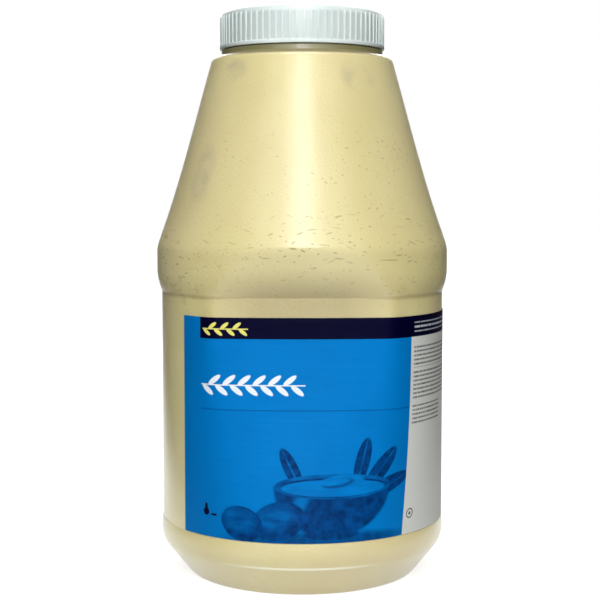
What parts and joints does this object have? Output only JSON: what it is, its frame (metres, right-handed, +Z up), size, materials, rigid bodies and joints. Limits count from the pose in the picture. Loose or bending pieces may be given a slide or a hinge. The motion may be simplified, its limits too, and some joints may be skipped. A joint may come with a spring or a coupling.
{
  "type": "mayonnaise jar",
  "caption": "Large wide-mouth plastic jar of mayonnaise with a ribbed screw cap, a sunken front and back, and a wrap label.",
  "frame": {"origin": "centre of the ring that the jar stands on", "axes": "+Z up along the jar's axis, the middle of the label faces -Y, +X to the right of someone who looks at the label"},
  "size_m": [0.1566, 0.155, 0.2999],
  "materials": {
    "jar": "satin",
    "mayonnaise": "satin",
    "cap": "satin",
    "label": "satin"
  },
  "bodies": {
    "root": {"jar": "jar", "mayonnaise": "mayonnaise", "cap": "cap", "label": "label"}
  },
  "joints": []
}
